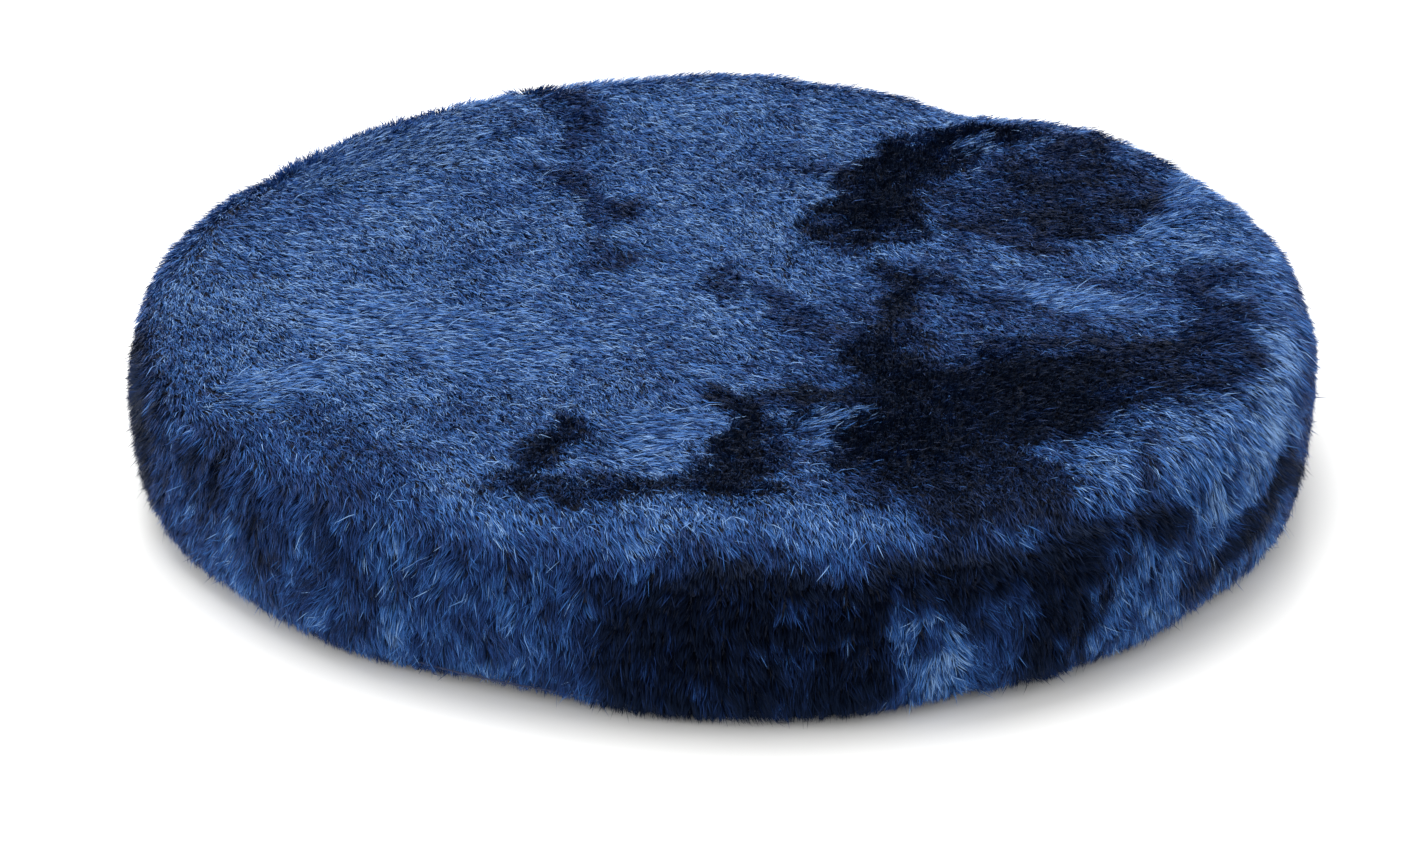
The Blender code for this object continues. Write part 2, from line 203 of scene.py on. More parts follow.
# Plush pile: glossy polyester fibre, knitted in and sheared. Seen along the fibres it is a bright blue,
# seen from their ends it swallows the light and goes almost black; its colour also holds both looks, as
# painted sheen and painted shade.
def pileMaterial():
    material, tree, shader = newMaterial(
        "polyesterPlushPile", Roughness=0.42, IOR=1.45, Specular_IOR_Level=0.36,
        Specular_Tint=linearColour("#6f9be6"), Sheen_Weight=0.12, Sheen_Roughness=0.4,
        Sheen_Tint=linearColour("#5f8fdc"),
    )
    tone = addNode(tree, "ShaderNodeAttribute", attribute_name="tone")
    rise = addNode(tree, "ShaderNodeAttribute", attribute_name="rise")
    # The tone picks a colour from near black to pale blue: the dye's blue, with painted shade and painted
    # sheen
    dyeShadeAndSheen = setRamp(
        addNode(tree, "ShaderNodeValToRGB", {"Fac": tone.outputs["Fac"]}),
        [(0.0, "#080b12"), (0.25, "#101830"), (0.5, "#243f7a"), (0.75, "#4278c3"), (1.0, "#8fb6e8")],
    )
    # Painted shade: each blade's colour darkens towards its root, deep in the pile
    depth = setRamp(
        addNode(tree, "ShaderNodeValToRGB", {"Fac": rise.outputs["Fac"]}),
        [(0.0, "#6c6c6c"), (1.0, "#ffffff")],
    )
    colour = addNode(
        tree, "ShaderNodeMix", data_type="RGBA", blend_type="MULTIPLY",
        inputs={0: 1.0, 6: dyeShadeAndSheen.outputs["Color"], 7: depth.outputs["Color"]},
    )
    tree.links.new(colour.outputs[2], shader.inputs["Base Color"])
    return material


# Knitted backing of the plush: matt, dark blue and darker still as painted shade of the deep pile above it,
# with the loops of its knit about a millimetre apart
def backingMaterial():
    material, tree, shader = newMaterial("knittedPlushBacking", Roughness=0.9)
    place = addNode(tree, "ShaderNodeTexCoord")
    loops = addNode(
        tree, "ShaderNodeTexVoronoi", {"Vector": place.outputs["Object"], "Scale": 1 / (1.0 * mm)}
    )
    colour = setRamp(
        addNode(tree, "ShaderNodeValToRGB", {"Fac": loops.outputs["Distance"]}),
        [(0.0, "#10203f"), (0.8, "#070d1a")],
    )
    bump = addNode(
        tree, "ShaderNodeBump", {"Height": loops.outputs["Distance"], "Distance": 0.2 * mm, "Strength": 0.5}
    )
    tree.links.new(colour.outputs["Color"], shader.inputs["Base Color"])
    tree.links.new(bump.outputs["Normal"], shader.inputs["Normal"])
    return material


# Flat cloths: a colour, a second colour in the weave, and how far apart the threads lie
cloths = {
    "wovenBaseCloth": {"dark": "#0b1428", "light": "#1c2c50", "pitch": 0.8 * mm, "rough": 0.85},
    "spunbondLiner": {"dark": "#c4c4bf", "light": "#e9e9e5", "pitch": 1.6 * mm, "rough": 0.9},
    "wovenZipTape": {"dark": "#0b1222", "light": "#1b2a4a", "pitch": 0.7 * mm, "rough": 0.8},
    "twistedPolyesterThread": {"dark": "#0a1430", "light": "#24386b", "pitch": 0.5 * mm, "rough": 0.6},
    "wovenSatinLabel": {"dark": "#d2d2d0", "light": "#f3f3f1", "pitch": 0.4 * mm, "rough": 0.45},
}


# Woven or bonded cloth: two sets of ribs that cross, seen as small lights and shadows
def clothMaterial(name):
    settings = cloths[name]
    material, tree, shader = newMaterial(name, Roughness=settings["rough"])
    place = addNode(tree, "ShaderNodeTexCoord")
    ribs = []
    for direction in ("X", "Z"):
        ribs.append(addNode(
            tree, "ShaderNodeTexWave", bands_direction=direction,
            inputs={"Vector": place.outputs["Object"], "Scale": 1 / settings["pitch"] / 3.2,
                    "Distortion": 1.2, "Detail Scale": 2.0},
        ))
    weave = addNode(tree, "ShaderNodeMath", {0: ribs[0].outputs["Fac"], 1: ribs[1].outputs["Fac"]},
                    operation="MULTIPLY")
    colour = setRamp(addNode(tree, "ShaderNodeValToRGB", {"Fac": weave.outputs["Value"]}),
                     [(0.1, settings["dark"]), (0.7, settings["light"])])
    bump = addNode(tree, "ShaderNodeBump", {"Height": weave.outputs["Value"],
                                            "Distance": settings["pitch"] / 4, "Strength": 0.5})
    tree.links.new(colour.outputs["Color"], shader.inputs["Base Color"])
    tree.links.new(bump.outputs["Normal"], shader.inputs["Normal"])
    return material


# Cover
cover = {
    "pileStand": 2.2 * mm,       # from the backing to the tips of the pile
    "sideStand": 4.0 * mm,
    "floorStand": 1.0 * mm,
    "topRound": 15 * mm,
    "baseRound": 12.5 * mm,
    "startShrink": 1.2 * mm,     # the pressure brings this back
    "remesh": 5 * mm,
    "pressure": 4,
    "frames": 20,
    "mostSwell": 1.8 * mm,
    "cloth": 1.1 * mm,
    "fill": 0.9,
    # radii between which a dip of the rim and a tuck of the hem grow to their full depth
    "rimGrows": (0.11, 0.17),
    "hemGrows": (0.155, 0.175),
    "hemLifts": (0.163, 0.178),
    "hemLift": 0.55,             # how far up the hem goes for each metre in
    # azimuth, half width in degrees, metres down
    "rimDips": [(62.5, 6.5, 4.8 * mm), (42, 10, -2.2 * mm), (94, 18, -2.6 * mm), (130, 20, -2.6 * mm),
                (168, 14, -3.4 * mm)],
    # azimuth, half width in degrees, metres in
    "hemTucks": [(248, 13, 4.5 * mm), (190, 10, 3 * mm), (216, 14, 2 * mm), (299, 16, 3.2 * mm),
                 (322, 8, 2.5 * mm), (348, 8, 2 * mm)],
    # lobes round the outline: how many, and how far they reach out, as cosine and as sine
    "lobes": [(2, 0.004, 0), (3, -0.005, -0.0066), (4, 0, 0.0088), (5, -0.0025, 0)],
    "stretch": 0.004,
    "lobesGrow": (0.1, 0.18),
    "lumps": 1.2 * mm,
    "lumpDrift": [(0.035, 1, 3), (0.016, 0.5, 4)],
    "sideBumps": 0.006,
    "bumpsGrow": (0.14, 0.17),
}
frontBandEnds = (208, 312)       # azimuths of the two upright seams


# A drum with both its edges rounded, made at its place
def roundedDrum(name, radius, low, high, topRound, baseRound):
    bpy.ops.object.select_all(action="DESELECT")
    bpy.ops.mesh.primitive_cylinder_add(
        vertices=96, radius=radius, depth=high - low, location=(0, 0, (high + low) / 2)
    )
    piece = bpy.context.object
    piece.name = name
    bpy.ops.object.transform_apply(location=True)
    for level, width in ((high, topRound), (low, baseRound)):
        bpy.ops.object.mode_set(mode="EDIT")
        bpy.ops.mesh.select_mode(type="EDGE")
        bpy.ops.mesh.select_all(action="DESELECT")
        bpy.ops.object.mode_set(mode="OBJECT")
        for edge in piece.data.edges:
            ends = [piece.data.vertices[i].co for i in edge.vertices]
            edge.select = all(abs(end.z - level) < 0.1 * mm for end in ends)
        bpy.ops.object.mode_set(mode="EDIT")
        bpy.ops.mesh.bevel(offset=width, segments=8, affect="EDGES")
        bpy.ops.object.mode_set(mode="OBJECT")
    return piece


def coverStart():
    shrink = cover["startShrink"]
    piece = roundedDrum(
        "coverForm", outerRadius - cover["sideStand"] - shrink, cover["floorStand"],
        cushionHeight - cover["pileStand"] - shrink, cover["topRound"], cover["baseRound"],
    )
    applyModifier(piece, "REMESH", mode="VOXEL", voxel_size=cover["remesh"])
    return piece


def blowUp(piece):
    start = meshPlaces(piece)
    outward = meshNormals(piece)
    held = piece.vertex_groups.new(name="held")
    onFloor = [i for i, place in enumerate(start) if place[2] < cover["floorStand"] + 1 * mm]
    held.add(onFloor, 1.0, "REPLACE")
    pickOnly(piece)
    cloth = piece.modifiers.new("Cloth", "CLOTH")
    cloth.settings.use_pressure = True
    cloth.settings.uniform_pressure_force = cover["pressure"]
    cloth.settings.effector_weights.gravity = 0
    cloth.settings.vertex_group_mass = "held"
    cloth.settings.quality = 4
    cloth.point_cache.frame_end = cover["frames"]
    for number in range(1, cover["frames"] + 1):
        bpy.context.scene.frame_set(number)
    bpy.ops.object.modifier_apply(modifier=cloth.name)
    bpy.context.scene.frame_set(1)
    move = meshPlaces(piece) - start
    inward = np.minimum(0, np.sum(move * outward, axis=1, keepdims=True))
    move -= inward * outward        # the foam holds the cover out
    far = np.linalg.norm(move, axis=1, keepdims=True)
    setPlaces(piece, start + move * np.minimum(1, cover["mostSwell"] / np.maximum(far, 1e-9)))


# The foam is cut and worn by hand, so the rim dips and the hem lifts in places
def shapeUnevenly(piece):
    places = meshPlaces(piece)
    azimuth = azimuthOf(places)
    across = np.hypot(places[:, 0], places[:, 1])
    level = places[:, 2] / cushionHeight
    nearTop = smoothStep(0.3, 0.9, level) * smoothStep(*cover["rimGrows"], across)
    nearHem = smoothStep(0.5, 0.1, level) * smoothStep(*cover["hemGrows"], across)
    for middle, half, depth in cover["rimDips"]:
        places[:, 2] -= depth * nearTop * np.exp(-(turnFrom(azimuth, middle) / half) ** 2)
    for middle, half, depth in cover["hemTucks"]:
        tuck = depth * nearHem * np.exp(-(turnFrom(azimuth, middle) / half) ** 2)
        places[:, :2] *= (1 - tuck / np.maximum(across, 10 * mm))[:, None]
        places[:, 2] += cover["hemLift"] * tuck * smoothStep(*cover["hemLifts"], across)
    turn = np.radians(azimuth)
    stretch = cover["stretch"]
    for count, cosine, sine in cover["lobes"]:
        stretch = stretch + cosine * np.cos(count * turn) + sine * np.sin(count * turn)
    places[:, :2] *= 1 + (stretch * smoothStep(*cover["lobesGrow"], across))[:, None]
    lump = drift(0, places, cover["lumpDrift"])
    places[:, 2] += cover["lumps"] * lump * smoothStep(0.2, 0.8, level)
    bumps = smoothNoise(places, 0.03, 5) * smoothStep(*cover["bumpsGrow"], across)
    places[:, :2] *= (1 + cover["sideBumps"] * bumps)[:, None]
    setPlaces(piece, places)


def makeCoverForm():
    piece = coverStart()
    blowUp(piece)
    shapeUnevenly(piece)
    applyModifier(piece, "SUBSURF", levels=1, render_levels=1)
    print("cover form:", len(piece.data.polygons), "faces")
    return piece


def bisectAt(place, normal):
    bpy.ops.mesh.select_all(action="SELECT")
    bpy.ops.mesh.bisect(plane_co=place, plane_no=normal)


def cutAlongSeams(piece):
    pickOnly(piece)
    bpy.ops.object.mode_set(mode="EDIT")
    for level in (topSeam, midSeam + slotHalf, midSeam, midSeam - slotHalf):
        bisectAt((0, 0, level), (0, 0, 1))
    for azimuth in (*frontBandEnds, zipStart, zipEnd):
        turn = math.radians(azimuth)
        bisectAt((0, 0, 0), (-math.sin(turn), math.cos(turn), 0))
    bpy.ops.object.mode_set(mode="OBJECT")


# Which panel of the cover a face's middle lies on
def panelOf(middle):
    azimuth = math.degrees(math.atan2(middle.y, middle.x)) % 360
    across = math.hypot(middle.x, middle.y)
    if middle.z > topSeam:
        return "topPanel"
    if across < baseRadius and middle.z < 0.3 * midSeam:
        return "basePanel"
    if frontBandEnds[0] < azimuth < frontBandEnds[1]:
        return "frontBand"
    if abs(middle.z - midSeam) < slotHalf and zipStart < azimuth < zipEnd:
        return "zipSlot"
    return "upperStrip" if middle.z > midSeam else "lowerStrip"


panelNodes = {
    "topPanel": "cover_top_panel",
    "basePanel": "cover_base_panel",
    "frontBand": "cover_front_band",
    "upperStrip": "cover_upper_strip",
    "lowerStrip": "cover_lower_strip",
}


# A copy of a form with only the faces whose middles are wanted
def cutOut(name, form, wanted):
    piece = form.copy()
    piece.data = form.data.copy()
    piece.name = name
    bpy.context.scene.collection.objects.link(piece)
    pickOnly(piece)
    bpy.ops.object.mode_set(mode="EDIT")
    bpy.ops.mesh.select_mode(type="FACE")
    bpy.ops.mesh.select_all(action="DESELECT")
    bpy.ops.object.mode_set(mode="OBJECT")
    for face in piece.data.polygons:
        face.select = not wanted(face.center)
    bpy.ops.object.mode_set(mode="EDIT")
    bpy.ops.mesh.delete(type="FACE")
    bpy.ops.object.mode_set(mode="OBJECT")
    return piece


# Pile
pile = {
    "density": 2.9e6,            # blades on a square metre
    "most": 64000,               # blades in one piece
    "length": 6.3 * mm,
    "spread": 0.16,              # how much the length varies
    "width": 0.33 * mm,
    "taper": 0.85,
    "sunk": 0.4 * mm,
    "roll": 0.9,                 # how far a blade turns about its own length
    "floorGap": 0.4 * mm,
    "lean": 74,                  # degrees from upright
    "sideRise": 23,              # how much less it leans on the side
    "raisedLean": 0.6,           # how much of its lean a raised blade loses
    "droop": 14,
    # blades gather in clumps, and on the side in locks that hang down
    "clump": 1.5 * mm,
    "gather": 0.3,
    "lock": 6 * mm,
    "lockGather": 0.35,
    "middleGather": 0.35,        # how much of that the middle of a blade takes part in
    # how much tone, lean in degrees and sway vary
    "clumpTone": 0.15,
    "bladeTone": 0.14,
    "lockTone": 0.14,
    "clumpLean": 6,
    "bladeLean": 8,
    "clumpSway": 0.18,
    "bladeSway": 0.16,
    "lockSway": 0.3,
    "sideSway": 0.2,
    # the few blades that catch the light, and the few that got away from their clump
    "glints": 0.08,
    "glint": 0.22,
    "strays": 0.035,
    "strayLength": 1.35,
    "straySway": 3,
    "strayTone": 1.25,
    "strayGather": 0.3,
    # how it lies and looks where no hand has been
    "heading": -60,
    "headingDrift": [(0.06, 16, 21), (0.018, 14, 22)],
    "tone": 0.69,
    "toneDrift": [(0.03, 0.09, 31), (0.009, 0.07, 32)],
    "riseDrift": [(0.02, 0.15, 33)],
    "edgeDrift": [(0.012, 0.18, 34)],
    "raggedDrift": [(0.006, 0.26, 35), (0.0025, 0.16, 36)],
    "fanDrift": [(0.016, 0.75, 41)],
    "sideDrift": [(0.014, 0.10, 42), (0.004, 0.12, 43)],
    "hang": (1, 1, 0.35),        # bumps of the side's tone are drawn out downwards
    "wispDrift": [(0.008, 1, 51), (0.003, 0.4, 52)],
    "streak": 9 * mm,            # how far a stroke's edge is drawn out along the pile
    # How strongly the strokes' painted shade and sheen show in the tone, on the top and on the side
    "topContrast": 0.60,
    "topWisps": 0.45,            # how much a stroke's painted shade gives way to bright wisps
    "sideContrast": 0.48,
    "sideWisps": 0.7,
    "sideRaise": 0.7,
    "shadedSideTone": (0.35, 0.22),    # the side's share of the top's tone, and its own: a painted shade that keeps the side darker than the top
    "darkest": 0.1,
    # over the rim the pile turns outwards, at the front only between two azimuths
    "frontAzimuth": 300,
    "frontTurns": (-14, 60),
    "rimTurn": 0.8,
    "backRaise": 0.45,
    "frontPress": 0.2,
    "tufts": 0.3,
    "frontTufts": 0.4,
    # it is cut shorter along the zip
    "clearOfZip": 9 * mm,
    "zipFade": 3,                # degrees
    "zipCut": 0.55,
}

# Strokes of the hand on the top, in millimetres and degrees: place, half length, half width, the way the
# stroke runs, how much painted shade it adds (below 0, painted sheen), where the pile now points, and how far
# it is raised
topStrokes = [
    (95, -45, 90, 62, 15, 0.40, -65, 0.1),
    (102, 78, 62, 44, 40, 0.44, -65, 0.2),
    (58, -110, 50, 42, 80, 1.0, -80, 0.5),
    (90, -84, 38, 32, 20, 0.95, -70, 0.5),
    (126, -74, 38, 24, 30, 0.85, -70, 0.4),
    (152, -40, 34, 15, 70, 0.65, -60, 0.4),
    (150, 2, 28, 14, 80, 0.5, -60, 0.3),
    (112, -50, 52, 9, -6, 0.85, -60, 0.3),
    (48, -60, 30, 15, 80, 0.95, -90, 0.4),
    (51, -16, 32, 7, 92, 0.9, -80, 0.3),
    (72, -8, 24, 7, -20, 0.6, -60, 0.3),
    (48, 64, 40, 17, 75, 1.0, -90, 0.4),
    (62, 98, 28, 20, 60, 0.95, -90, 0.4),
    (80, 128, 30, 16, 20, 0.85, -90, 0.4),
    (30, 94, 20, 8, -10, 0.5, -60, 0.2),
    (112, 98, 36, 22, 60, 0.72, -70, 0.3),
    (120, 54, 34, 20, 20, 0.72, -70, 0.3),
    (92, 34, 28, 10, -15, 0.6, -60, 0.2),
    (6, -108, 24, 10, 75, 1.0, -80, 0.4),
    (-4, -90, 15, 7, -50, 0.9, -60, 0.3),
    (20, -90, 17, 7, 50, 1.0, -60, 0.3),
    (-54, -124, 30, 7, 72, 0.7, -90, 0.4),
    (-26, -150, 44, 6, -2, 0.95, -90, 0.4),
    (-6, -140, 15, 10, 20, 0.9, -90, 0.4),
    (-54, 70, 44, 6, -62, 0.45, -60, 0.2),
    (-128, -118, 92, 20, -48, 0.22, -75, 0.1),
    (-34, 52, 14, 7, -60, 0.6, -60, 0.2),
    (-45, 21, 11, 5, 80, 0.55, -60, 0.2),
    (-58, 84, 14, 6, 60, 0.5, -60, 0.2),
    (-54, 140, 34, 9, -75, 0.38, -60, 0.3),
    (-88, 122, 28, 8, 75, 0.22, -60, 0.3),
    (-6, -6, 17, 6, 70, 0.6, -60, 0.2),
    (11, -19, 16, 6, -50, 0.6, -60, 0.2),
    (26, -34, 14, 8, -30, 0.5, -60, 0.2),
    (-27, -118, 26, 14, 60, -0.25, -20, 0.0),
    (26, -114, 24, 2.5, 60, -0.4, -20, 0.0),
    (0, -164, 62, 9, 0, -0.15, -80, 0.0),
    (30, -184, 72, 9, 0, 0.75, -85, 0.3),
    (150, -112, 42, 20, 62, -0.48, -50, 0.0),
    (82, -146, 34, 24, 25, 0.75, -80, 0.3),
    (108, -124, 24, 9, 80, -0.15, -60, 0.0),
    (125, -146, 46, 4, 86, 0.65, -80, 0.2),
    (-120, 108, 44, 34, 40, -0.34, -50, 0.4),
    (-140, -76, 24, 14, 60, -0.07, -20, 0.0),
    (-100, -40, 50, 30, -30, -0.06, -30, 0.0),
    (108, -14, 30, 12, -25, -0.1, -20, 0.0),
    (78, 116, 13, 3, 55, -0.15, -30, 0.0),
    (155, 30, 20, 8, 80, -0.12, -40, 0.2),
    (166, -62, 34, 12, 75, -0.3, -40, 0.0),
    (146, 66, 30, 10, 70, -0.04, -20, 0.4),
]

# The same on the side: azimuth and height, half sizes in degrees and metres, how much painted shade it adds
# (below 0, painted sheen), and how far the pile fans out to the sides
sideStrokes = [
    (194, 0.030, 9, 0.040, 0.7, 0.0),
    (214, 0.042, 9, 0.010, 0.35, 0.0),
    (231, 0.030, 5, 0.018, 0.22, 0.3),
    (245, 0.030, 8, 0.030, -0.10, 0.2),
    (265, 0.020, 10.5, 0.032, 0.85, 0.2),
    (260, 0.050, 9, 0.010, 0.35, 0.0),
    (275, 0.044, 14, 0.014, 0.95, 0.2),
    (269, 0.030, 7, 0.004, -0.12, 0.6),
    (279, 0.018, 5, 0.026, 0.8, 0.0),
    (300, 0.047, 17, 0.010, 0.85, 0.2),
    (301, 0.020, 4.5, 0.020, 0.75, 0.0),
    (289, 0.022, 5.5, 0.016, -0.45, 1.3),
    (311.5, 0.020, 4.5, 0.020, -0.42, 0.0),
    (306.6, 0.022, 1.1, 0.018, 0.7, 0.0),
    (328, 0.048, 13, 0.012, -0.75, 0.3),
    (330, 0.028, 15, 0.007, 0.85, 0.0),
    (338, 0.012, 12, 0.009, -0.12, 0.0),
]


# 1 inside a stroke and 0 outside, with a soft edge that ragged moves in and out
def strokeShare(along, beside, halfLong, halfShort, ragged):
    far = np.hypot(along / halfLong, beside / halfShort)
    return 1 - smoothStep(0.62, 1.2, far + ragged)


# The strokes on the top: where the pile points, how far it is raised, and how much painted shade and sheen it
# gets
def strokeTop(warped, ragged, onTop, heading, raised):
    paintedShadeAndSheen = np.zeros(len(warped))
    for x, y, halfLong, halfShort, runs, addedShadeAndSheen, pointing, lift in topStrokes:
        run = math.radians(runs)
        offX = warped[:, 0] - x * mm
        offY = warped[:, 1] - y * mm
        along = offX * math.cos(run) + offY * math.sin(run)
        beside = offY * math.cos(run) - offX * math.sin(run)
        share = strokeShare(along, beside, halfLong * mm, halfShort * mm, ragged) * onTop
        heading = heading + share * turnFrom(pointing, heading)
        if addedShadeAndSheen > 0:
            paintedShadeAndSheen = np.maximum(paintedShadeAndSheen, share * addedShadeAndSheen)
        else:
            paintedShadeAndSheen = paintedShadeAndSheen * (1 - share) + share * addedShadeAndSheen
        raised = np.maximum(raised, lift * share)
    return heading, raised, paintedShadeAndSheen


# The strokes on the side: how much painted shade and sheen it gets, how far the pile fans out, and how far it
# is raised
def strokeSide(places, warp, ragged, wisps, onTop, raised):
    paintedShadeAndSheen = drift(0, places * pile["hang"], pile["sideDrift"])
    fan = drift(0, places, pile["fanDrift"])
    warped = places + warp
    azimuth = azimuthOf(warped)
    for middle, level, halfTurn, halfHeight, addedShadeAndSheen, fanning in sideStrokes:
        away = turnFrom(azimuth, middle)
        share = strokeShare(away, warped[:, 2] - level, halfTurn, halfHeight, ragged)
        paintedShadeAndSheen += pile["sideContrast"] * addedShadeAndSheen * share * (1 - pile["sideWisps"] * wisps)
        raised = np.maximum(raised, pile["sideRaise"] * addedShadeAndSheen * share * (1 - onTop))
        fan += fanning * share * away / halfTurn
    return paintedShadeAndSheen, fan, raised


# Where the pile points: as combed on the top, down and fanned out on the side, and always along the cloth
def pointPile(normals, azimuth, heading, fan, onTop):
    turn = np.radians(heading)
    combed = np.stack([np.cos(turn), np.sin(turn), np.zeros(len(turn))], axis=1)
    spin = np.radians(azimuth)
    sideways = np.stack([-np.sin(spin), np.cos(spin), np.zeros(len(spin))], axis=1)
    downward = sideways * fan[:, None] + np.array((0, 0, -1.0))
    pointing = combed * onTop[:, None] + downward * (1 - onTop)[:, None]
    pointing -= normals * np.sum(pointing * normals, axis=1, keepdims=True)
    return unit(pointing)


# What is left of the pile's length beside the zip
def lengthByZip(places, azimuth):
    toZip = np.abs(places[:, 2] - midSeam) - slotHalf
    fade = pile["zipFade"]
    byZip = 1 - smoothStep(0, pile["clearOfZip"], toZip)
    byZip *= smoothStep(zipStart - fade, zipStart, azimuth) * smoothStep(zipEnd + fade, zipEnd, azimuth)
    return 1 - pile["zipCut"] * byZip


# For each blade: where it points, its lean in degrees, its tone and its share of the full length
def combPile(places, normals, random):
    azimuth = azimuthOf(places)
    warp = wander(places, 0.024, 9, 11) + wander(places, 0.009, 5, 20)
    heading = drift(pile["heading"], places, pile["headingDrift"])
    drawn = np.radians(heading)
    along = random.uniform(-0.5, 1, len(places)) ** 3 * pile["streak"]
    warped = places + warp - np.stack([np.cos(drawn) * along, np.sin(drawn) * along, along * 0], axis=1)
    ragged = drift(0, warped, pile["raggedDrift"])
    wisps = smoothStep(0.15, 0.8, drift(0, warped, pile["wispDrift"]))

    onTop = smoothStep(0.25, 0.8, normals[:, 2])
    far = np.hypot(places[:, 0], places[:, 1]) / outerRadius
    atBack = smoothStep(-0.2, 0.3, places[:, 1] / outerRadius)
    overFront = smoothStep(0.6, 0.96, far) * (1 - atBack)
    overBack = smoothStep(0.88, 0.96, far) * atBack
    front = pile["frontAzimuth"]
    outward = front + np.clip(turnFrom(azimuth, front), *pile["frontTurns"])
    heading = heading + pile["rimTurn"] * overFront * turnFrom(outward, heading)
    heading = heading + pile["rimTurn"] * overBack * turnFrom(azimuth, heading)
    raised = drift(0, places, pile["riseDrift"])
    raised += pile["backRaise"] * overBack - pile["frontPress"] * overFront

    heading, raised, paintedShadeAndSheen = strokeTop(warped, ragged, onTop, heading, raised)
    paintedSideShadeAndSheen, fan, raised = strokeSide(places, warp, ragged, wisps, onTop, raised)
    # The tone drifts at random. The strokes paint shade on it where the pile is seen from its ends, and sheen
    # where it is seen along its length
    tone = drift(pile["tone"], places, pile["toneDrift"])
    tone -= pile["topContrast"] * paintedShadeAndSheen * (1 - pile["topWisps"] * wisps * (paintedShadeAndSheen > 0))
    tone = np.clip(tone, pile["darkest"], 1)
    # The side gets a painted shade, a darker tone than the top, and the top's lit tone gives way to it over
    # the rim
    share, own = pile["shadedSideTone"]
    shadedSideTone = np.clip(tone * share + own - paintedSideShadeAndSheen, pile["darkest"], 1)
    litTop = smoothStep(0.35, 0.98, drift(normals[:, 2], places, pile["edgeDrift"]))
    tone = tone * litTop + (1 - litTop) * shadedSideTone

    lean = pile["lean"] * (1 - pile["raisedLean"] * np.clip(raised, -0.2, 1))
    lean -= pile["sideRise"] * (1 - onTop)
    tufts = pile["tufts"] * (overBack + pile["frontTufts"] * overFront) * smoothNoise(places, 0.008, 44)
    pointing = pointPile(normals, azimuth, heading, fan, onTop)
    return pointing, lean, tone, lengthByZip(places, azimuth) * (1 + tufts)


# Points spread evenly over a mesh, with its smoothed normals
def spreadOver(piece, density, random):
    mesh = piece.data
    mesh.calc_loop_triangles()
    corners = np.empty(len(mesh.loop_triangles) * 3, np.int32)
    mesh.loop_triangles.foreach_get("vertices", corners)
    corners = corners.reshape(-1, 3)
    places = meshPlaces(piece)
    a, b, c = (places[corners[:, i]] for i in range(3))
    areas = np.linalg.norm(np.cross(b - a, c - a), axis=1) / 2
    count = int(areas.sum() * density)
    chosen = random.choice(len(corners), count, p=areas / areas.sum())
    weights = random.random((count, 2))
    flip = weights.sum(axis=1) > 1
    weights[flip] = 1 - weights[flip]
    weights = np.column_stack([1 - weights.sum(axis=1), weights])[:, :, None]
    spots = (places[corners[chosen]] * weights).sum(axis=1)
    return spots, unit((meshNormals(piece)[corners[chosen]] * weights).sum(axis=1))


# The number of the cell that each place lies in, and how many cells are used
def groupByPlace(places, size):
    cells = np.floor(places / size).astype(np.int64)
    _, group = np.unique(cells, axis=0, return_inverse=True)
    return group.ravel(), group.max() + 1


# For each place the middle of its group
def groupMean(places, group, groups):
    members = np.bincount(group, minlength=groups)
    middles = [np.bincount(group, places[:, axis], groups) / members for axis in range(3)]
    return np.stack(middles, axis=1)[group]


